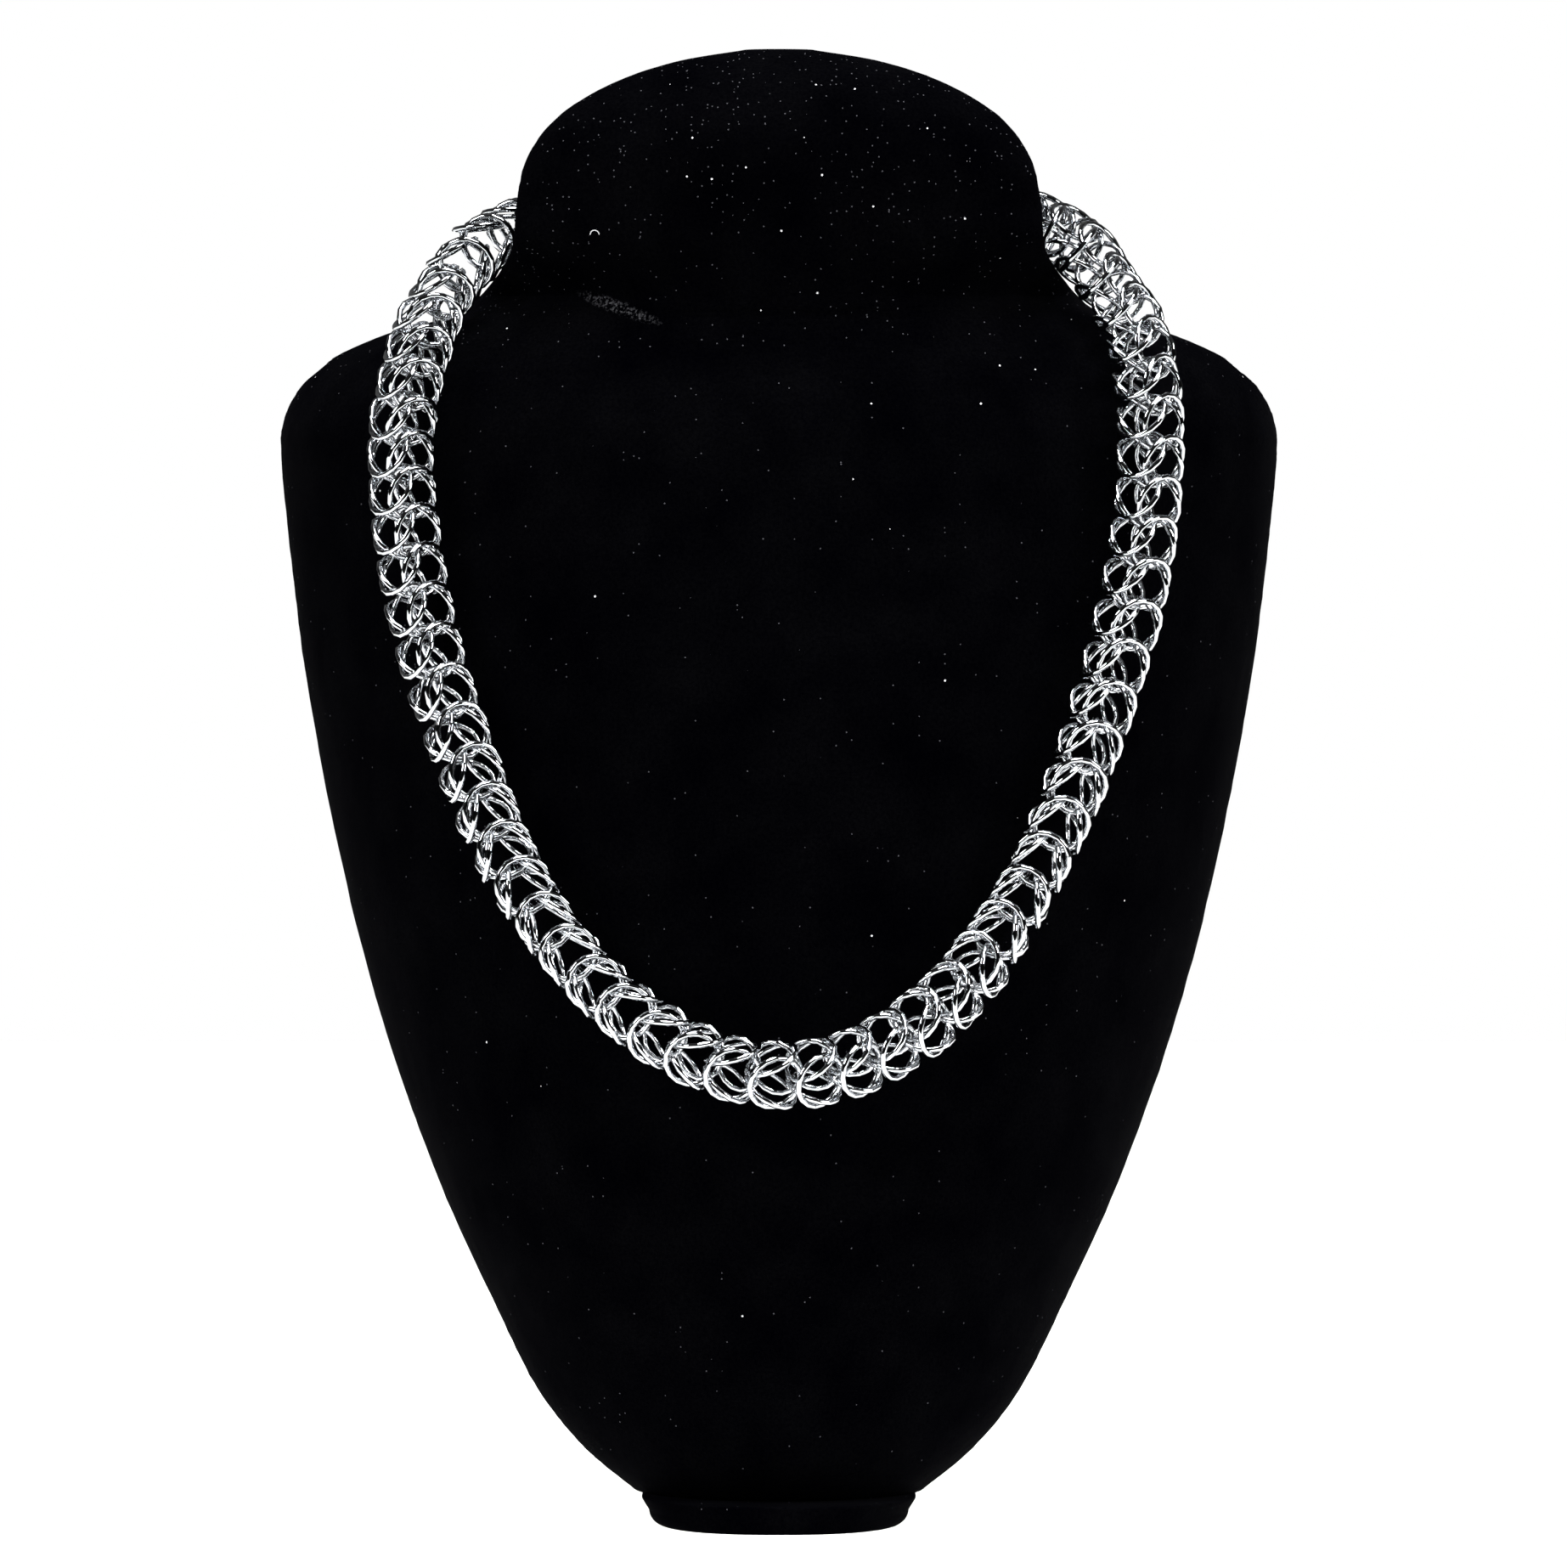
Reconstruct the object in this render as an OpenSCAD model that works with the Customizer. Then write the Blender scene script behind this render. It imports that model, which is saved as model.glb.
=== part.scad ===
// Chainmail choker on a velvet neck bust. Millimetres, +Z up, the wearer's
// front faces -Y. The origin is at the foot's underside, in the middle of the
// whole thing's width and depth.

/* [Bust] */
// Points round each cross-section of the bust
bust_sides = 48; // [24:4:60]
// How square the back of a cross-section is, where 2 is an ellipse
back_square = 2.4; // [2:0.1:3]

/* [Foot] */
// Width of the foot at its top edge
foot_top_w = 48; // [40:1:52]
// Width of the foot where it stands
foot_bottom_w = 43; // [36:1:48]
// Depth of the foot from front to back
foot_d = 66; // [50:1:76]
// Height of the foot
foot_h = 4.8; // [3.6:0.2:4.8]
// Radius of the foot's rounded lower edges at its sides
foot_round = 2.4; // [1:0.2:3.4]
// Radius of the foot's bowed front
foot_bow = 40; // [35:5:120]

/* [Chain] */
// Outer diameter of the round chain
chain_d = 12; // [8:0.5:12]
// Sides of the swept tube that stands for the chain
chain_sides = 12; // [8:1:12]

/* [Clasp] */
// Diameter of the clasp's barrel
barrel_d = 6.6; // [4:0.2:8]
// Length of the clasp's barrel, with its rounded ends
barrel_l = 13; // [10:0.5:13]
// Wire thickness of the eye at each end of the clasp
eye_wire = 1.4; // [1:0.1:1.4]
// Inner radius of each eye
eye_hole_r = 1.7; // [1:0.1:1.7]

/* [Hidden] */

// The bust's sections from the foot up. The front, rim and back are the y of
// the foremost point, of the widest points and of the hindmost point.
col_z = 0; col_half_w = 1; col_front = 2; col_rim = 3; col_back = 4;
bust_rows = [
    // z,      half_w, front,  rim,  back
    [5,       24.8,   -13,    19,   33  ],
    [12.2,    34.3,   -18,    23,   36  ],
    [22.2,    42.4,   -22,    27,   39  ],
    [36.2,    50.5,   -26.5,  31,   41  ],
    [59.2,    61.2,   -31,    35,   43.5],
    [89.2,    71.9,   -34.3,  38,   45.5],
    [119.2,   79.6,   -34.5,  39.5, 46.3],
    [149.2,   85.3,   -32.8,  40.5, 46.5],
    [171.2,   88.2,   -30.2,  41,   46.5],
    [189.2,   90,     -27,    41,   46.5],
    [196.2,   89.6,   -24.8,  41,   46.5],
    [202,     86.8,   -22.5,  41,   46.5],
    [205.7,   82.8,   -21,    41,   46.5],
    [208.4,   79.1,   -20,    41,   46.5],
    [211.9,   70.2,   -19.3,  38,   45  ],
    [214.1,   58.9,   -19.8,  28,   41  ],
    [217.5,   51.9,   -20.5,  14,   34  ],
    [223.7,   47.1,   -21.5,  -10,  26  ],
    [232.5,   45.9,   -22.5,  -13,  23.5],
    [240.5,   44,     -22.3,  -12,  22.5],
    [247.7,   38.7,   -20,    -10,  19  ],
    [253.6,   29.4,   -16,    -8,   14  ],
    [257.6,   18.3,   -11,    -6,   7   ],
    [259.9,   6,      -6,     -4,   -2  ]
];
row_steps = 3;

// The chain's centre line, once round the neck from one end of the clasp to
// the other: behind the neck, down the left of the chest, up the right.
chain_route = [
    [-11.5, 29.5, 235.2], [-20, 28.2, 235.2], [-28, 25.3, 234.8], [-35.5, 21.2, 233.6],
    [-41.8, 16, 231.7], [-47.5, 9.6, 228.9], [-53.1, 3.4, 225.1], [-56.9, -0.8, 220.1],
    [-59.9, -4, 215], [-62.5, -8.2, 208.7], [-65, -12.5, 199.2], [-66, -14.5, 186.2],
    [-64, -17, 168.2], [-60, -20, 151.2], [-54, -24, 134.2], [-47, -28, 117.7],
    [-37.5, -32.5, 103.2], [-25, -37, 90.7], [-11, -39.5, 82.7], [4.5, -40.5, 80.7],
    [20, -38, 86.2], [32, -34.5, 96.7], [42, -30.5, 111.2], [50, -26.5, 127.2],
    [56, -23, 143.7], [61, -19.5, 160.7], [64, -16.5, 177.2], [65, -14.5, 191.7],
    [64, -11.5, 203.7], [62.2, -8.3, 210.8], [59.8, -5.2, 215.5], [56.9, -1.8, 220.4],
    [53.4, 2.2, 225.1], [48, 8.8, 229.2], [42, 15.8, 232.4], [36, 21, 234.1],
    [28, 25.3, 235], [20, 28.2, 235.2], [11.5, 29.5, 235.2]
];
route_steps = 2;
// A point inside the loop, from which the tube's rings are turned outwards
loop_hub = [0, 5, 158];

clasp_at = [0, 29.5, 235.2];
foot_y = 9;
arc_steps = 6;

// Catmull-Rom spline through rows of numbers, with each span cut in n
function spline_point(p0, p1, p2, p3, t) =
    (2*p1 + (p2 - p0)*t + (2*p0 - 5*p1 + 4*p2 - p3)*t*t
     + (3*p1 - p0 - 3*p2 + p3)*t*t*t) / 2;
function spline(rows, n) =
    let (last = len(rows) - 1,
         padded = concat([2*rows[0] - rows[1]], rows, [2*rows[last] - rows[last - 1]]))
    concat([for (i = [0:last - 1], k = [0:n - 1])
                spline_point(padded[i], padded[i + 1], padded[i + 2], padded[i + 3], k/n)],
           [rows[last]]);

// Closed solid through a stack of rings with equal numbers of points
module skin(rings) {
    n = len(rings[0]);
    top = len(rings) - 1;
    sides = [for (i = [0:top - 1], j = [0:n - 1])
        let (a = i*n + j, b = i*n + (j + 1) % n)
        each [[a, a + n, b + n], [a, b + n, b]]];
    polyhedron(points = [for (ring = rings) each ring],
               faces = concat([[for (j = [0:n - 1]) j]], sides,
                              [[for (j = [n - 1:-1:0]) top*n + j]]));
}

// A half ellipse in front of the rim, and a squarer, shallower one behind it
function bust_section(row) =
    [for (i = [0:bust_sides - 1])
        let (a = 360*i/bust_sides, s = sin(a),
             y = s < 0 ? (row[col_rim] - row[col_front])*s
                       : (row[col_back] - row[col_rim])*pow(s, 2/back_square))
        [row[col_half_w]*cos(a), row[col_rim] + y, row[col_z]]];

function unit(v) = v/norm(v);
function tube_ring(at, along) =
    let (out = at - loop_hub,
         u = unit(out - (out*along)*along),
         v = cross(along, u))
    [for (i = [0:chain_sides - 1])
        let (a = 360*i/chain_sides)
        at + chain_d/2*(cos(a)*u + sin(a)*v)];

function arc(centre, r, from, to) =
    [for (i = [0:arc_steps])
        let (a = from + (to - from)*i/arc_steps)
        centre + r*[cos(a), sin(a)]];

// Padded form of the chest, shoulders and neck under the velvet
module bust() {
    color("#141416")
        skin([for (row = spline(bust_rows, row_steps)) bust_section(row)]);
}

// Low block under the chest, narrower where it stands
module foot() {
    r = foot_round;
    half = foot_bottom_w/2;
    elevation = concat([[foot_top_w/2, foot_h], [-foot_top_w/2, foot_h]],
                       arc([r - half, r], r, 180, 270), arc([half - r, r], r, 270, 360));
    color("#141416")
        intersection() {
            translate([0, foot_y + foot_d/2, 0])
                rotate([90, 0, 0])
                    linear_extrude(foot_d) polygon(elevation);
            translate([0, foot_y - foot_d/2 + foot_bow, -1])
                linear_extrude(foot_h + 2)
                    union() {
                        circle(foot_bow, $fn = 160);
                        translate([-foot_top_w, 0]) square([2*foot_top_w, foot_d]);
                    }
        }
}

// Round chain of linked rings, as the tube that they fill
module chain() {
    path = spline(chain_route, route_steps);
    last = len(path) - 1;
    color("#c9ccd0")
        skin([for (i = [0:last])
            tube_ring(path[i], unit(path[min(i + 1, last)] - path[max(i - 1, 0)]))]);
}

// Barrel with a wire eye at each end, closed as it is worn
module clasp() {
    barrel_r = barrel_d/2;
    eye_r = eye_hole_r + eye_wire/2;
    eye_x = barrel_l/2 + eye_r - eye_wire/2;
    color("#c9ccd0")
        translate(clasp_at) {
            rotate([0, 90, 0]) rotate_extrude($fn = 64)
                barrel_profile(barrel_r, barrel_l);
            for (side = [-1, 1])
                translate([side*eye_x, 0, 0])
                    rotate([90, 0, 0])
                        rotate_extrude($fn = 64)
                            translate([eye_r, 0]) circle(eye_wire/2, $fn = 32);
        }
}

// Half section of the barrel: a quarter circle, a straight side, a quarter circle
module barrel_profile(r, l) {
    straight = l/2 - r;
    polygon(concat([[0, -l/2]], arc([0, -straight], r, -90, 0),
                   arc([0, straight], r, 0, 90)));
}

bust();
foot();
chain();
clasp();
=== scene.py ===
import math

import bpy
import numpy as np
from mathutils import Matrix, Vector


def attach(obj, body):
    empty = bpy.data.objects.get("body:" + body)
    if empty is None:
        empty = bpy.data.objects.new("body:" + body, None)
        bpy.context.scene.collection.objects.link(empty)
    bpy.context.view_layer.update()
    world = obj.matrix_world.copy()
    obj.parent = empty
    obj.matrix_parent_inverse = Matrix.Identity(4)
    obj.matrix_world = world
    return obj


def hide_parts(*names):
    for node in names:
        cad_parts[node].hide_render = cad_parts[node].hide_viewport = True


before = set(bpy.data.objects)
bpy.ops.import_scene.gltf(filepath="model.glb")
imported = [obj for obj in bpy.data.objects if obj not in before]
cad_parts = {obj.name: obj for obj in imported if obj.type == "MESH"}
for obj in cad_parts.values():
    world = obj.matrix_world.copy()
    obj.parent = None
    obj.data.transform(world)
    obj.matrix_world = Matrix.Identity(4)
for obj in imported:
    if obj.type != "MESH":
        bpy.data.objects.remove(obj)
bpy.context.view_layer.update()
mm = 0.001
print("frame loaded")


# Shared helpers

# sRGB hex to the linear colour that a shader takes, by the standard sRGB curve
def hexColour(code):
    srgb = np.array([int(code[i:i + 2], 16) / 255 for i in (1, 3, 5)])
    linear = np.where(srgb <= 0.04045, srgb / 12.92, ((srgb + 0.055) / 1.055) ** 2.4)
    return (*linear.tolist(), 1.0)


# one node with its settings; an input is a plain value or another node's socket
def addNode(tree, kind, settings=None, inputs=None):
    node = tree.nodes.new("ShaderNode" + kind)
    for key, value in (settings or {}).items():
        setattr(node, key, value)
    for key, value in (inputs or {}).items():
        if isinstance(value, bpy.types.NodeSocket):
            tree.links.new(value, node.inputs[key])
        else:
            node.inputs[key].default_value = value
    return node


def newMaterial(name):
    material = bpy.data.materials.new(name)
    material.use_nodes = True
    tree = material.node_tree
    tree.nodes.clear()
    return material, tree


def addObject(name, data):
    thing = bpy.data.objects.new(name, data)
    bpy.context.scene.collection.objects.link(thing)
    return thing


# smooth mesh object from points and faces, with a UV for each face corner if given
def meshObject(name, points, faces, material, uv=None):
    mesh = bpy.data.meshes.new(name)
    mesh.from_pydata(points.reshape(-1, 3).tolist(), [], faces)
    if uv is not None:
        mesh.uv_layers.new(name="wireUv").data.foreach_set("uv", uv.ravel())
    mesh.polygons.foreach_set("use_smooth", np.ones(len(mesh.polygons), bool))
    mesh.materials.append(material)
    mesh.validate()
    return addObject(name, mesh)


# Catmull-Rom curve through rows of numbers, each span cut in n, as in the CAD
# source: half of (2b + (c-a)t + (2a-5b+4c-d)t^2 + (3b-a-3c+d)t^3)
def spline(rows, n):
    rows = np.asarray(rows, float)
    padded = np.vstack([2 * rows[0] - rows[1], rows, 2 * rows[-1] - rows[-2]])
    a, b, c, d = (padded[i:len(padded) - 3 + i][:, None] for i in range(4))
    t = (np.arange(n) / n)[None, :, None]
    spans = (2 * b + (c - a) * t + (2 * a - 5 * b + 4 * c - d) * t ** 2
             + (3 * b - a - 3 * c + d) * t ** 3) / 2
    return np.vstack([spans.reshape(-1, rows.shape[1]), rows[-1:]])


# Points and faces of a closed skin: quads join a grid of stations x sides, round and
# round, and a fan of triangles joins the first and the last station to an end point
def closedSkin(grid, ends):
    stations, sides = grid.shape[:2]
    station, side = np.meshgrid(np.arange(stations - 1), np.arange(sides), indexing="ij")
    here, ahead, beside = station * sides, (station + 1) * sides, (side + 1) % sides
    quads = np.stack([here + side, here + beside, ahead + beside, ahead + side], -1)
    side, beside = side[0], beside[0]
    lastStation = (stations - 1) * sides
    endPoint = np.full(sides, stations * sides)
    firstFan = np.stack([beside, side, endPoint], -1)
    lastFan = np.stack([lastStation + side, lastStation + beside, endPoint + 1], -1)
    faces = quads.reshape(-1, 4).tolist() + firstFan.tolist() + lastFan.tolist()
    return np.vstack([grid.reshape(-1, 3), ends]), faces


# a skin whose flat ends close at the middle of their own station
def skinObject(name, grid, material):
    points, faces = closedSkin(grid, [grid[0].mean(0), grid[-1].mean(0)])
    return meshObject(name, points, faces, material)


# Camera

# level, at the middle of the photo, with a long lens; in m, the lens and sensor in mm
camera = {"x": 0.000825, "distance": 1.6, "height": 0.13065, "lens": 208.13, "sensor": 36,
          "near": 0.05, "far": 50}


def makeCamera():
    data = bpy.data.cameras.new("camera")
    data.sensor_width = camera["sensor"]
    data.lens = camera["lens"]
    data.clip_start, data.clip_end = camera["near"], camera["far"]
    viewer = addObject("camera", data)
    viewer.location = (camera["x"], -camera["distance"], camera["height"])
    viewer.rotation_euler = (math.pi / 2, 0, 0)
    bpy.context.scene.camera = viewer


makeCamera()


# Velvet

velvet = {
    # the pile's own colour, and the lighter colour of painted sheen where it would catch
    # light, and the range of the patches times the tufts over which one turns into the other
    "pile": "#000001", "pilePaintedSheen": "#030304", "paintedSheenFrom": 0.12, "paintedSheenTo": 0.42,
    "napPatch": 14,      # mm across a patch of painted sheen, where the pile lies another way
    "pileClump": 0.55,   # mm; single tufts are 0.1 mm, too fine to show
    "roughness": 0.95, "specular": 0.004,
    "sheenWeight": 0.003, "sheenRoughness": 0.35, "sheenTint": "#b9b9c4",
    "bump": 0.35, "bumpDepth": 0.12,
    # lint as small balls: mm from one to the next, mm radius, share of them kept
    "dust": [0.9, 0.13, 0.4], "dustColour": "#404044",
    "fleck": [3.2, 0.19, 0.4], "fleckColour": "#c4c4c6",
    # mm: lint thins out downwards, from all of it above to the least share below
    "lintTop": 236, "lintBottom": 200, "leastLint": 0.1,
    # a streak of painted sheen, light caught on the pile at the left of the neck's base, in mm
    # and degrees: at its full strength in the core's share of its size, and only on the higher tufts
    "paintedStreakPlace": (-28.4, -13.4, 214.2), "paintedStreakSize": (10.5, 9, 1.4), "paintedStreakTurn": 21.5,
    "paintedStreakColour": "#5e5e62", "paintedStreakStrength": 0.45, "paintedStreakCore": 0.2,
    "tuftFrom": 0.5, "tuftTo": 0.62,
    # one curled white fibre above the streak, in mm
    "fibrePlace": (-32.1, -19.6, 226.4), "fibreCurl": 0.8, "fibreWidth": 0.08,
}


# 1 inside the small balls of a random lattice, where the kept share follows amount
def lintMask(tree, place, layer, amount):
    cell, radius, share = layer
    speck = addNode(tree, "TexVoronoi", None, {"Vector": place, "Scale": 1 / (cell * mm)})
    near = addNode(tree, "Math", {"operation": "LESS_THAN"}, {
        0: speck.outputs["Distance"], 1: radius / cell})
    chance = addNode(tree, "SeparateColor", None, {0: speck.outputs["Color"]}).outputs[0]
    kept = addNode(tree, "Math", {"operation": "MULTIPLY"}, {0: amount, 1: share})
    chosen = addNode(tree, "Math", {"operation": "LESS_THAN"}, {0: chance, 1: kept.outputs[0]})
    return addNode(tree, "Math", {"operation": "MULTIPLY"}, {
        0: near.outputs[0], 1: chosen.outputs[0]}).outputs[0]


# The painted sheen streak: an ellipsoid's inside, fading outwards, broken up by the tufts
def paintedStreakMask(tree, place, tufts):
    v = velvet
    inPaintedStreak = addNode(tree, "Mapping", {"vector_type": "TEXTURE"}, {
        "Vector": place, "Location": [k * mm for k in v["paintedStreakPlace"]],
        "Rotation": (0, math.radians(v["paintedStreakTurn"]), 0), "Scale": [k * mm for k in v["paintedStreakSize"]]})
    reach = addNode(tree, "VectorMath", {"operation": "LENGTH"}, {0: inPaintedStreak.outputs[0]})
    paintedStreak = addNode(tree, "MapRange", None, {
        "Value": reach.outputs["Value"], "From Min": 1.0, "From Max": v["paintedStreakCore"],
        "To Min": 0.0, "To Max": v["paintedStreakStrength"]})
    grain = addNode(tree, "MapRange", None, {
        "Value": tufts, "From Min": v["tuftFrom"], "From Max": v["tuftTo"]})
    return addNode(tree, "Math", {"operation": "MULTIPLY"}, {
        0: paintedStreak.outputs[0], 1: grain.outputs[0]}).outputs[0]


# The fibre: the upper half of a thin shell about its middle, where the bust cuts it
def fibreMask(tree, place, height):
    v = velvet
    fromCurl = addNode(tree, "VectorMath", {"operation": "DISTANCE"}, {
        0: place, 1: [k * mm for k in v["fibrePlace"]]})
    onCurl = addNode(tree, "Math", {"operation": "COMPARE"}, {
        0: fromCurl.outputs["Value"], 1: v["fibreCurl"] * mm, 2: v["fibreWidth"] * mm})
    above = addNode(tree, "Math", {"operation": "GREATER_THAN"}, {
        0: height, 1: v["fibrePlace"][2] * mm})
    return addNode(tree, "Math", {"operation": "MULTIPLY"}, {
        0: onCurl.outputs[0], 1: above.outputs[0]}).outputs[0]


# Cotton velvet: a dense short upright pile swallows light, and only its edges, the
# lint on it, faint painted sheen in patches and a streak of painted sheen show
def velvetMaterial():
    v = velvet
    material, tree = newMaterial("blackCottonVelvet")
    place = addNode(tree, "TexCoord").outputs["Object"]
    height = addNode(tree, "SeparateXYZ", None, {0: place}).outputs["Z"]
    nap = addNode(tree, "TexNoise", None, {
        "Vector": place, "Scale": 1 / (v["napPatch"] * mm), "Detail": 2.0})
    clump = addNode(tree, "TexNoise", None, {
        "Vector": place, "Scale": 1 / (v["pileClump"] * mm), "Detail": 3.0, "Roughness": 0.65})
    tufts = clump.outputs["Fac"]
    both = addNode(tree, "Math", {"operation": "MULTIPLY"}, {0: nap.outputs["Fac"], 1: tufts})
    # painted sheen: the pile colour turns lighter in the nap patches and tufts where it would catch
    # light
    lit = addNode(tree, "MapRange", None, {
        "Value": both.outputs[0], "From Min": v["paintedSheenFrom"], "From Max": v["paintedSheenTo"]})
    colour = addNode(tree, "Mix", {"data_type": "RGBA"}, {
        0: lit.outputs[0], 6: hexColour(v["pile"]), 7: hexColour(v["pilePaintedSheen"])})
    amount = addNode(tree, "MapRange", None, {
        "Value": height, "From Min": v["lintBottom"] * mm, "From Max": v["lintTop"] * mm,
        "To Min": v["leastLint"], "To Max": 1.0}).outputs[0]
    # over the pile: the streak of painted sheen, then the real lint specks and the real fibre
    for mask, tint in ((paintedStreakMask(tree, place, tufts), v["paintedStreakColour"]),
                       (lintMask(tree, place, v["dust"], amount), v["dustColour"]),
                       (lintMask(tree, place, v["fleck"], amount), v["fleckColour"]),
                       (fibreMask(tree, place, height), v["fleckColour"])):
        colour = addNode(tree, "Mix", {"data_type": "RGBA"}, {
            0: mask, 6: colour.outputs[2], 7: hexColour(tint)})
    bump = addNode(tree, "Bump", None, {
        "Strength": v["bump"], "Distance": v["bumpDepth"] * mm, "Height": tufts})
    shader = addNode(tree, "BsdfPrincipled", None, {
        "Base Color": colour.outputs[2], "Roughness": v["roughness"],
        "Specular IOR Level": v["specular"], "Sheen Weight": v["sheenWeight"],
        "Sheen Roughness": v["sheenRoughness"], "Sheen Tint": hexColour(v["sheenTint"]),
        "Normal": bump.outputs[0]})
    addNode(tree, "OutputMaterial", None, {"Surface": shader.outputs[0]})
    return material


blackVelvet = velvetMaterial()


# Bust

bust = {
    # Sections from the foot up, in mm: height, half width, and the y of the foremost
    # point, the widest points and the hindmost point. They are the CAD source's, except
    # that the three lowest are up to 1 mm wider here, and the neck's flare at 214 to 218
    # is up to 3 mm wider and further back, where the rings leave room and its tube doesn't
    "rows": [
        [5, 25.8, -13, 19, 33], [12.2, 34.9, -18, 23, 36], [22.2, 43.2, -22, 27, 39],
        [36.2, 50.5, -26.5, 31, 41], [59.2, 61.2, -31, 35, 43.5], [89.2, 71.9, -34.3, 38, 45.5],
        [119.2, 79.6, -34.5, 39.5, 46.3], [149.2, 85.3, -32.8, 40.5, 46.5],
        [171.2, 88.2, -30.2, 41, 46.5], [189.2, 90, -27, 41, 46.5], [196.2, 89.6, -24.8, 41, 46.5],
        [202, 86.8, -22.5, 41, 46.5], [205.7, 82.8, -21, 41, 46.5],
        [208.4, 79.1, -20, 41, 46.5], [211.9, 70.2, -19.3, 38, 45],
        [214.1, 61, -19.8, 34, 41], [217.5, 54.6, -20.5, 32, 34],
        [223.7, 47.1, -21.5, -10, 26], [232.5, 45.9, -22.5, -13, 23.5],
        [240.5, 44, -22.3, -12, 22.5], [247.7, 38.7, -20, -10, 19], [253.6, 29.4, -16, -8, 14],
        [257.6, 18.3, -11, -6, 7], [259.9, 6, -6, -4, -2]],
    "cuts": 9, "sides": 224, "backSquare": 2.4,
    # mm that the pile's tips stand uneven, usually and at most, by chance
    "fuzz": 0.05, "mostFuzz": 0.12, "seed": 31,
}


# Each section is half an ellipse in front of the rim, (w cos a, rim + f sin a), and
# a squarer shallow half behind it, where sin a is raised to 2/backSquare; the pile
# is uneven by a little chance in and out
def makeBust():
    height, halfWidth, front, rim, back = spline(bust["rows"], bust["cuts"]).T[:, :, None]
    a = np.linspace(0, 2 * np.pi, bust["sides"], endpoint=False)[None]
    s = np.sin(a)
    behind = np.abs(s) ** (2 / bust["backSquare"])
    y = rim + np.where(s < 0, (rim - front) * s, (back - rim) * behind)
    most = bust["mostFuzz"]
    uneven = np.random.default_rng(bust["seed"]).normal(0, bust["fuzz"], y.shape).clip(-most, most)
    x, y = (halfWidth + uneven) * np.cos(a), y + uneven * s
    grid = np.stack(np.broadcast_arrays(x, y, height), -1)
    return skinObject("velvetBust", grid * mm, blackVelvet)


bustPiece = makeBust()
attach(bustPiece, "root")
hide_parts("bust")
print("bust made")


# Foot

# in mm: a low block that narrows downwards, bowed in front
foot = {
    "topWidth": 49, "bottomWidth": 46, "depth": 66, "height": 4.8, "middleY": 9,
    "sideRound": 2.4,      # the lower edge's radius at the sides
    "edgeRound": 0.5,      # every other edge's
    "bow": 34,             # the radius that the front is bowed to
    "cornerSquare": 3.4,   # how square the corners are from above, 2 being an ellipse
    "sides": 200, "cuts": 10,
}


# A squared oval outline, x = w |cos a|^(2/n) and y = d |sin a|^(2/n), whose front is
# pushed back by the bow's circle; going up, quarter circles round its edges
def makeFoot():
    f = foot
    arc = np.linspace(0, math.pi / 2, f["cuts"])
    low = f["sideRound"] * (1 - np.cos(arc))
    slope = np.linspace(f["sideRound"], f["height"] - f["edgeRound"], f["cuts"])[1:-1]
    high = f["height"] - f["edgeRound"] * (1 - np.sin(arc))
    z = np.concatenate([low, slope, high])
    lean = (f["topWidth"] - f["bottomWidth"]) / 2 * np.clip(
        (z - f["sideRound"]) / (f["height"] - f["sideRound"]), 0, 1)
    lowIn = 1 - np.sin(arc)
    highIn = f["edgeRound"] * (1 - np.cos(arc))
    still = np.zeros(len(slope))
    halfX = f["bottomWidth"] / 2 + lean - np.concatenate(
        [f["sideRound"] * lowIn, still, highIn])
    halfY = f["depth"] / 2 - np.concatenate([f["edgeRound"] * lowIn, still, highIn])
    halfX, halfY = halfX[:, None], halfY[:, None]
    a = np.linspace(0, 2 * np.pi, f["sides"], endpoint=False)[None]
    square = 2 / f["cornerSquare"]
    x = halfX * np.sign(np.cos(a)) * np.abs(np.cos(a)) ** square
    y = halfY * np.sign(np.sin(a)) * np.abs(np.sin(a)) ** square
    frontShare = np.clip(-y / halfY, 0, 1)
    bowed = y + frontShare * (f["bow"] - np.sqrt(f["bow"] ** 2 - x ** 2))
    grid = np.stack(np.broadcast_arrays(x, f["middleY"] + bowed, z[:, None]), -1)
    return skinObject("velvetFoot", grid * mm, blackVelvet)


footPiece = makeFoot()
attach(footPiece, "root")
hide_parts("foot")
print("foot made")


# Steel

steel = {
    "colour": "#cbcdd0", "shade": "#a6a9ad",
    "roughnessLow": 0.04, "roughnessHigh": 0.1,
    # mm across a duller place, and the cloud's values between which it turns dull
    "cloud": 2.2, "cloudFrom": 0.35, "cloudTo": 0.7,
    "scratchWidth": 0.2, "scratchLength": 3.0,   # mm across and along the wire
    "bump": 0.12, "bumpDepth": 0.006,
    "cutWidth": 0.09, "cutColour": "#1c1c1e",    # the saw cut where a ring closes, mm
}


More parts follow.
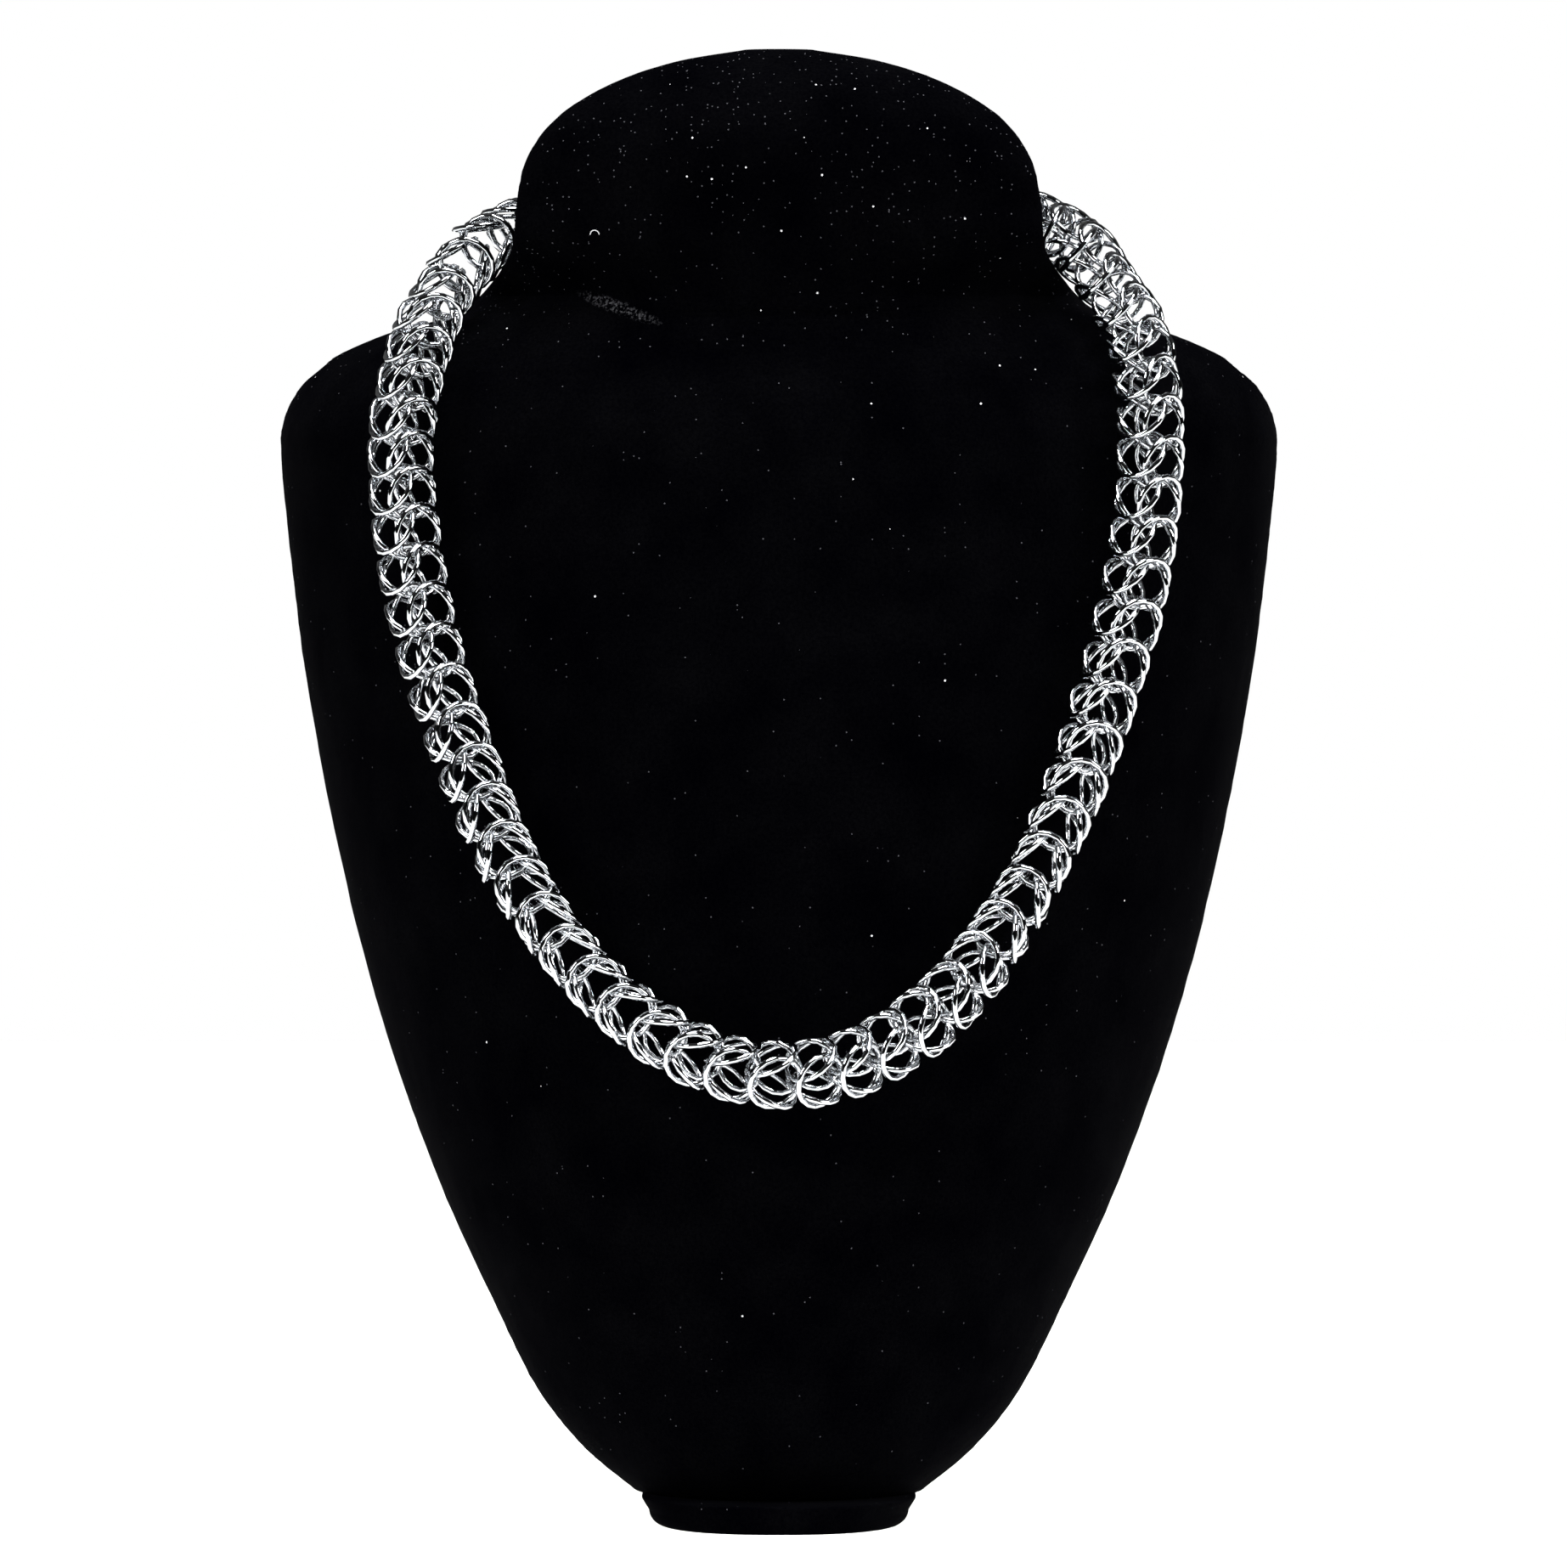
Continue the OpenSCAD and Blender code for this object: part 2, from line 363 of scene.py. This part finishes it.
# Polished stainless steel: bright, with fine drawing lines along it, a little duller
# in places, and on a ring the thin dark cut where it is closed
def steelMaterial(name, lengthAlong, lengthAround, hasCut):
    s = steel
    material, tree = newMaterial(name)
    uv = addNode(tree, "UVMap", {"uv_map": "wireUv"}).outputs[0]
    drawn = addNode(tree, "Mapping", None, {"Vector": uv, "Scale": (
        lengthAlong / s["scratchLength"], lengthAround / s["scratchWidth"], 1)})
    lines = addNode(tree, "TexNoise", None, {
        "Vector": drawn.outputs[0], "Scale": 1.0, "Detail": 3.0, "Roughness": 0.6})
    place = addNode(tree, "TexCoord").outputs["Object"]
    cloud = addNode(tree, "TexNoise", None, {
        "Vector": place, "Scale": 1 / (s["cloud"] * mm), "Detail": 2.0})
    dull = addNode(tree, "MapRange", None, {
        "Value": cloud.outputs["Fac"], "From Min": s["cloudFrom"], "From Max": s["cloudTo"],
        "To Min": s["roughnessLow"], "To Max": s["roughnessHigh"]})
    colour = addNode(tree, "Mix", {"data_type": "RGBA"}, {
        0: lines.outputs["Fac"], 6: hexColour(s["colour"]), 7: hexColour(s["shade"])})
    bump = addNode(tree, "Bump", None, {
        "Strength": s["bump"], "Distance": s["bumpDepth"] * mm, "Height": lines.outputs["Fac"]})
    if hasCut:
        along = addNode(tree, "SeparateXYZ", None, {0: uv}).outputs["X"]
        fromCut = addNode(tree, "Math", {"operation": "PINGPONG"}, {0: along, 1: 0.5})
        inCut = addNode(tree, "Math", {"operation": "LESS_THAN"}, {
            0: fromCut.outputs[0], 1: s["cutWidth"] / lengthAlong / 2})
        colour = addNode(tree, "Mix", {"data_type": "RGBA"}, {
            0: inCut.outputs[0], 6: colour.outputs[2], 7: hexColour(s["cutColour"])})
    shader = addNode(tree, "BsdfPrincipled", None, {
        "Base Color": colour.outputs[2], "Metallic": 1.0, "Roughness": dull.outputs[0],
        "Normal": bump.outputs[0]})
    addNode(tree, "OutputMaterial", None, {"Surface": shader.outputs[0]})
    return material


# Chain

# in mm and degrees: units of four rings, two that lean out and back along the chain and,
# a quarter turn round, two that lean out and on along it, each ring through both of the
# next pair; where the units tip over the shoulders a few rings miss each other instead,
# and so does the link at the start of the route, which lies beside the first unit's rings
chain = {
    "ringRadius": 4.725, "wire": 0.99,   # to the middle of the wire, and its thickness
    "offset": 2.76,     # from the chain's middle to a ring's middle
    "lean": 63,         # between a ring's plane and the chain's cross-section
    "lift": 0.87,       # from the first pair's middle back to the second's
    "around": 16, "sides": 5,   # few faces, because the shape repeats 260 times
    "swell": 1.08,      # makes up for what the wire's flat sides cut off
    "loose": 0.05, "looseTurn": 2.0, "seed": 279,   # how a ring lies off its place, by chance
    # rounds of pushing rings apart: each ring against how many following ones, points on
    # a ring, the share of what is missing that a ring moves, the gap as a share of the
    # wire's thickness, and the most that a ring moves in all
    "settleRounds": 36, "settleReach": 9, "settlePoints": 40, "settleShare": 0.25,
    "settleGap": 1.04, "settleLimit": 0.5,
    # unit number and the way along the chain; the pitch follows the photo
    "units": [[0, 6.1], [7, 57], [11, 84.1], [16, 117.8], [25, 185.1], [41, 299],
              [49, 359], [53, 386.7], [56, 407.5], [64, 466]],
    # way along and the units' turn about the chain
    "turns": [[0, 0], [50, 0], [66, -14], [83, -32], [117, -45], [158, -22], [190, 0],
              [234, 25], [260, 45], [281, 70], [298, 90], [328, 115], [358, 135], [390, 150],
              [415, 165], [471, 180]],
    # way along and how far the units tip where they slide together over the shoulders
    "tips": [[0, 0], [14, 0], [34, 35], [50, 35], [66, 28], [83, 14], [110, 0], [140, 0],
             [340, 0], [370, 0], [390, 10], [410, 22], [424, 28], [436, 28], [457, 0],
             [471, 0]],
    "tableCuts": 24,
    "route": [
        [-11.5, 29.5, 235.2], [-20, 28.2, 235.2], [-28, 25.3, 234.8], [-35.5, 21.2, 233.6],
        [-41.8, 16, 231.7], [-47.5, 9.6, 228.9], [-53.1, 3.4, 225.1], [-56.9, -0.8, 220.1],
        [-59.9, -4, 215], [-62.5, -8.2, 208.7], [-65, -12.5, 199.2], [-66, -14.5, 186.2],
        [-64, -17, 168.2], [-60, -20, 151.2], [-54, -24, 134.2], [-47, -28, 117.7],
        [-37.5, -32.5, 103.2], [-25, -37, 90.7], [-11, -39.5, 82.7], [4.5, -40.5, 80.7],
        [20, -38, 86.2], [32, -34.5, 96.7], [42, -30.5, 111.2], [50, -26.5, 127.2], [56, -23, 143.7],
        [61, -19.5, 160.7], [64, -16.5, 177.2], [65, -14.5, 191.7], [64, -11.5, 203.7],
        [62.2, -8.3, 210.8], [59.8, -5.2, 215.5], [56.9, -1.8, 220.4], [53.4, 2.2, 225.1],
        [48, 8.8, 229.2], [42, 15.8, 232.4], [36, 21, 234.1], [28, 25.3, 235], [20, 28.2, 235.2],
        [11.5, 29.5, 235.2]],
    "routeCuts": 60,
    "linkRadius": 2.2,   # of the plain link at each end of the route, through a clasp's eye
}


# A ring: a circle of radius R in the plane of u and v carries the wire's circle of
# radius r: centre + (R + r cos b)(u cos a + v sin a) + r sin b (u x v)
def ringGrid(centre, u, v, radius, wireRadius, around, sides, start):
    a = np.linspace(0, 2 * np.pi, around, endpoint=False)[None, :, None, None]
    a = a + start[:, None, None, None]
    b = np.linspace(0, 2 * np.pi, sides, endpoint=False)[None, None, :, None]
    centre, u, v, w = (k[:, None, None, :] for k in (centre, u, v, np.cross(u, v)))
    radius = np.asarray(radius)[:, None, None, None]
    outwards = u * np.cos(a) + v * np.sin(a)
    return centre + (radius + wireRadius * np.cos(b)) * outwards + wireRadius * np.sin(b) * w


# faces and corner UVs of many rings at once: u runs once round the ring and v once
# round the wire
def ringFaces(rings, around, sides):
    i, j = np.meshgrid(np.arange(around), np.arange(sides), indexing="ij")
    i, j = i.ravel(), j.ravel()
    ahead, beside = (i + 1) % around, (j + 1) % sides
    quad = np.stack([i * sides + j, ahead * sides + j, ahead * sides + beside,
                     i * sides + beside], -1)
    faces = (quad[None] + (np.arange(rings) * around * sides)[:, None, None]).reshape(-1, 4)
    uv = np.stack([np.stack([i, i + 1, i + 1, i], -1) / around,
                   np.stack([j, j, j + 1, j + 1], -1) / sides], -1)
    return faces, np.broadcast_to(uv[None], (rings, *uv.shape)).reshape(-1, 2)


def unitVectors(rows):
    return rows / np.linalg.norm(rows, axis=-1, keepdims=True)


# smooth curve through a short table of places and values, by the same spline
def smoothTable(at, places, values):
    curve = spline(np.stack([places, values], -1), chain["tableCuts"])
    return np.interp(at, curve[:, 0], curve[:, 1])


# The ring places of all units: each unit's frame is across the chain, away from the
# viewer and back along the chain, tipped and turned by the two tables
def ringPlaces():
    c = chain
    path = spline(c["route"], c["routeCuts"])
    way = np.concatenate([[0], np.cumsum(np.linalg.norm(np.diff(path, axis=0), axis=1))])

    # the route's points at these ways along it
    def routeAt(ways):
        return np.stack([np.interp(ways, way, path[:, k]) for k in range(3)], -1)

    numbers, ways = np.array(c["units"], float).T
    units = int(numbers[-1]) + 1
    at = smoothTable(np.arange(units), numbers, ways)
    place = routeAt(at)
    along = unitVectors(routeAt(at + 0.5) - routeAt(at - 0.5))
    up = -along
    away = unitVectors(np.array([0.0, 1.0, 0.0]) - along[:, 1:2] * along)
    across = np.cross(away, up)
    tip = np.radians(smoothTable(at, *np.array(c["tips"], float).T))[:, None]
    up, away = (up * np.cos(tip) - away * np.sin(tip), away * np.cos(tip) + up * np.sin(tip))
    turn = np.radians(smoothTable(at, *np.array(c["turns"], float).T))[:, None]
    right = across * np.cos(turn) - away * np.sin(turn)
    deep = across * np.sin(turn) + away * np.cos(turn)
    lean = math.radians(c["lean"])
    centres, us, vs = [], [], []
    for out, side, rise, height in ((-deep, right, 1, 0), (deep, -right, 1, 0),
                                    (-right, -deep, -1, c["lift"]), (right, deep, -1, c["lift"])):
        centres.append(place + c["offset"] * out + height * up)
        us.append(out * math.cos(lean) + rise * up * math.sin(lean))
        vs.append(side)
    return [np.stack(k, 1).reshape(-1, 3) for k in (centres, us, vs)]


# Rings that lie closer than a wire's thickness push each other apart: in each round
# both move by a share of what is missing, along the line between their nearest points
def settle(centres, us, vs):
    c = chain
    count = len(centres)
    a = np.linspace(0, 2 * np.pi, c["settlePoints"], endpoint=False)[:, None]
    circles = c["ringRadius"] * (us[:, None] * np.cos(a) + vs[:, None] * np.sin(a))
    first, step = np.meshgrid(np.arange(count), np.arange(1, c["settleReach"] + 1))
    second = first + step
    first, second = first[second < count], second[second < count]
    rest, pairs = centres, np.arange(len(first))
    for _ in range(c["settleRounds"]):
        lines = centres[:, None] + circles
        # from every point of the second ring of a pair to every point of the first
        apart = np.stack([(lines[first, :, None, k] - lines[second, None, :, k]).reshape(
            len(first), -1) for k in range(3)])
        nearest = np.argmin((apart ** 2).sum(0), axis=1)
        between = apart[:, pairs, nearest].T
        gap = np.linalg.norm(between, axis=1, keepdims=True)
        missing = np.clip(c["wire"] * c["settleGap"] - gap, 0, None)
        push = between / gap * missing * c["settleShare"]
        moves = np.zeros_like(centres)
        np.add.at(moves, first, push)
        np.add.at(moves, second, -push)
        shift = centres + moves - rest
        far = np.linalg.norm(shift, axis=1, keepdims=True)
        # the tiny least length only keeps the division off 0
        centres = rest + shift * np.minimum(1, c["settleLimit"] / np.maximum(far, 1e-9))
    return centres


def makeChain():
    c = chain
    random = np.random.default_rng(c["seed"])
    centres, us, vs = ringPlaces()
    n = len(centres)
    centres = centres + random.normal(0, c["loose"], (n, 3))
    tilt = np.radians(random.normal(0, c["looseTurn"], (n, 2)))
    normals = np.cross(us, vs)
    us = unitVectors(us + normals * tilt[:, :1])
    vs = unitVectors(vs + normals * tilt[:, 1:])
    vs = unitVectors(vs - us * (us * vs).sum(-1, keepdims=True))
    centres = settle(centres, us, vs)
    # the two links lie level, round the ends of the route
    centres = np.vstack([centres, c["route"][0], c["route"][-1]])
    us = np.vstack([us, [[1, 0, 0]] * 2])
    vs = np.vstack([vs, [[0, 1, 0]] * 2])
    radius = np.concatenate([np.full(n, c["ringRadius"]), [c["linkRadius"]] * 2])
    start = random.uniform(0, 2 * np.pi, n + 2)
    wireRadius = c["wire"] / 2 * c["swell"]
    grid = ringGrid(centres, us, vs, radius, wireRadius, c["around"], c["sides"], start)
    faces, uv = ringFaces(n + 2, c["around"], c["sides"])
    wireMaterial = steelMaterial("polishedStainlessWire", 2 * np.pi * c["ringRadius"],
                                 np.pi * c["wire"], True)
    print("rings", n, "and 2 links")
    return meshObject("chainRings", grid * mm, faces.tolist(), wireMaterial, uv)


chainPiece = makeChain()
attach(chainPiece, "root")
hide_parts("chain")
print("chain made")


# Clasp

# in mm: a plain turned barrel with round ends, and a wire eye at each end
clasp = {
    "place": [0, 29.5, 235.2], "barrel": 6.6, "length": 13, "sides": 64, "cuts": 160,
    "groove": 0.18, "grooveWidth": 0.5,
    "eyeWire": 1.4, "eyeHole": 1.7, "eyeAround": 48, "eyeSides": 16,
}


# Turned about its length: a quarter circle, a straight side with a fine groove at its
# middle, and a quarter circle; the eyes are two plain rings
def makeClasp():
    c = clasp
    r, half = c["barrel"] / 2, c["length"] / 2
    x = -half * np.cos(np.linspace(0, np.pi, c["cuts"]))
    straight = half - r
    over = np.clip(np.abs(x) - straight, 0, r)
    profile = np.sqrt(np.maximum(r ** 2 - over ** 2, 0))
    profile = profile - c["groove"] * np.exp(-(2 * x / c["grooveWidth"]) ** 2)
    x, profile = x[1:-1, None], profile[1:-1, None]
    b = np.linspace(0, 2 * np.pi, c["sides"], endpoint=False)[None]
    grid = np.stack(np.broadcast_arrays(x, profile * np.cos(b), profile * np.sin(b)), -1)
    points, faces = closedSkin(grid, [[-half, 0, 0], [half, 0, 0]])
    eyeRadius = c["eyeHole"] + c["eyeWire"] / 2
    eyeX = half + c["eyeHole"]
    eyes = ringGrid(np.array([[-eyeX, 0, 0], [eyeX, 0, 0]]), np.array([[1.0, 0, 0]] * 2),
                    np.array([[0, 0, 1.0]] * 2), [eyeRadius] * 2, c["eyeWire"] / 2,
                    c["eyeAround"], c["eyeSides"], np.zeros(2))
    eyeFaces, _ = ringFaces(2, c["eyeAround"], c["eyeSides"])
    faces += (eyeFaces + len(points)).tolist()
    points = (np.vstack([points, eyes.reshape(-1, 3)]) + c["place"]) * mm
    # u runs once round the barrel and v along it
    spot = points[[corner for face in faces for corner in face]] / mm - c["place"]
    uv = np.stack([np.arctan2(spot[:, 2], spot[:, 1]) / (2 * np.pi), spot[:, 0] / c["length"]], -1)
    turned = steelMaterial("polishedStainlessTurned", np.pi * c["barrel"], c["length"], False)
    return meshObject("claspBarrel", points, faces, turned, uv)


claspPiece = makeClasp()
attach(claspPiece, "root")
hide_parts("clasp")
print("clasp made")


# Floor and light

studio = {
    "floor": "#f4f4f2", "floorRoughness": 0.9, "floorSpecular": 0.1,
    "floorSize": 6, "floorFront": -0.35,   # m
    # the light from the room, by the height it comes from: dark at eye level,
    # where the photographer stands, and bright overhead
    "zenith": 0.03, "eyeLevel": 0.004, "zenithFrom": 0.22, "zenithTo": 0.75,
    # and by how far from behind it comes, for the bright backdrop
    "backdrop": 0.1, "backdropFrom": 0.3, "backdropTo": 0.7,
    # softboxes: place in m, size in m, power in W, all aimed at the bust's middle
    "boxes": [[(-1.1, -0.75, 0.8), 0.5, 15], [(1.1, -0.6, 0.65), 0.45, 13],
              [(0.1, -0.55, 1.35), 0.7, 26]],
    "aim": (0, 0, 0.14),
    "sun": 3.6, "sunAngle": 12,   # straight from above, in degrees across, no shadows
}


def makeFloor():
    s = studio
    material, tree = newMaterial("mattWhiteTable")
    shader = addNode(tree, "BsdfPrincipled", None, {
        "Base Color": hexColour(s["floor"]), "Roughness": s["floorRoughness"],
        "Specular IOR Level": s["floorSpecular"]})
    addNode(tree, "OutputMaterial", None, {"Surface": shader.outputs[0]})
    h, near = s["floorSize"] / 2, s["floorFront"]
    corners = np.array([[-h, near, 0], [h, near, 0], [h, h, 0], [-h, h, 0]])
    return meshObject("floor", corners, [[0, 1, 2, 3]], material)


# The room lights the scene by direction, and the camera sees it plain white
def makeRoom():
    s = studio
    world = bpy.data.worlds.new("studio")
    bpy.context.scene.world = world
    world.use_nodes = True
    tree = world.node_tree
    tree.nodes.clear()
    direction = addNode(tree, "TexCoord").outputs["Generated"]
    axes = addNode(tree, "SeparateXYZ", None, {0: direction})
    overhead = addNode(tree, "MapRange", {"interpolation_type": "SMOOTHSTEP"}, {
        "Value": axes.outputs["Z"], "From Min": s["zenithFrom"], "From Max": s["zenithTo"],
        "To Min": s["eyeLevel"], "To Max": s["zenith"]})
    behind = addNode(tree, "MapRange", {"interpolation_type": "SMOOTHSTEP"}, {
        "Value": axes.outputs["Y"], "From Min": s["backdropFrom"], "From Max": s["backdropTo"],
        "To Min": 0.0, "To Max": s["backdrop"]})
    level = addNode(tree, "Math", {"operation": "MAXIMUM"}, {
        0: overhead.outputs[0], 1: behind.outputs[0]})
    lit = addNode(tree, "Background", None, {"Color": (1, 1, 1, 1), "Strength": level.outputs[0]})
    seen = addNode(tree, "Background", None, {"Color": (1, 1, 1, 1), "Strength": 1.0})
    path = addNode(tree, "LightPath")
    mix = addNode(tree, "MixShader", None, {
        0: path.outputs["Is Camera Ray"], 1: lit.outputs[0], 2: seen.outputs[0]})
    addNode(tree, "OutputWorld", None, {"Surface": mix.outputs[0]})


def makeLamps():
    s = studio
    sun = bpy.data.lights.new("ceiling", "SUN")
    sun.energy, sun.angle = s["sun"], math.radians(s["sunAngle"])
    sun.use_shadow = False
    addObject("ceiling", sun)
    for i, (place, size, power) in enumerate(s["boxes"]):
        light = bpy.data.lights.new(f"softbox{i}", "AREA")
        light.shape, light.size, light.energy = "SQUARE", size, power
        lamp = addObject(f"softbox{i}", light)
        lamp.location = place
        lamp.rotation_euler = (Vector(s["aim"]) - Vector(place)).to_track_quat("-Z", "Y").to_euler()


floor = makeFloor()
makeRoom()
makeLamps()
bpy.context.scene.view_settings.view_transform = "Standard"
print("studio made")
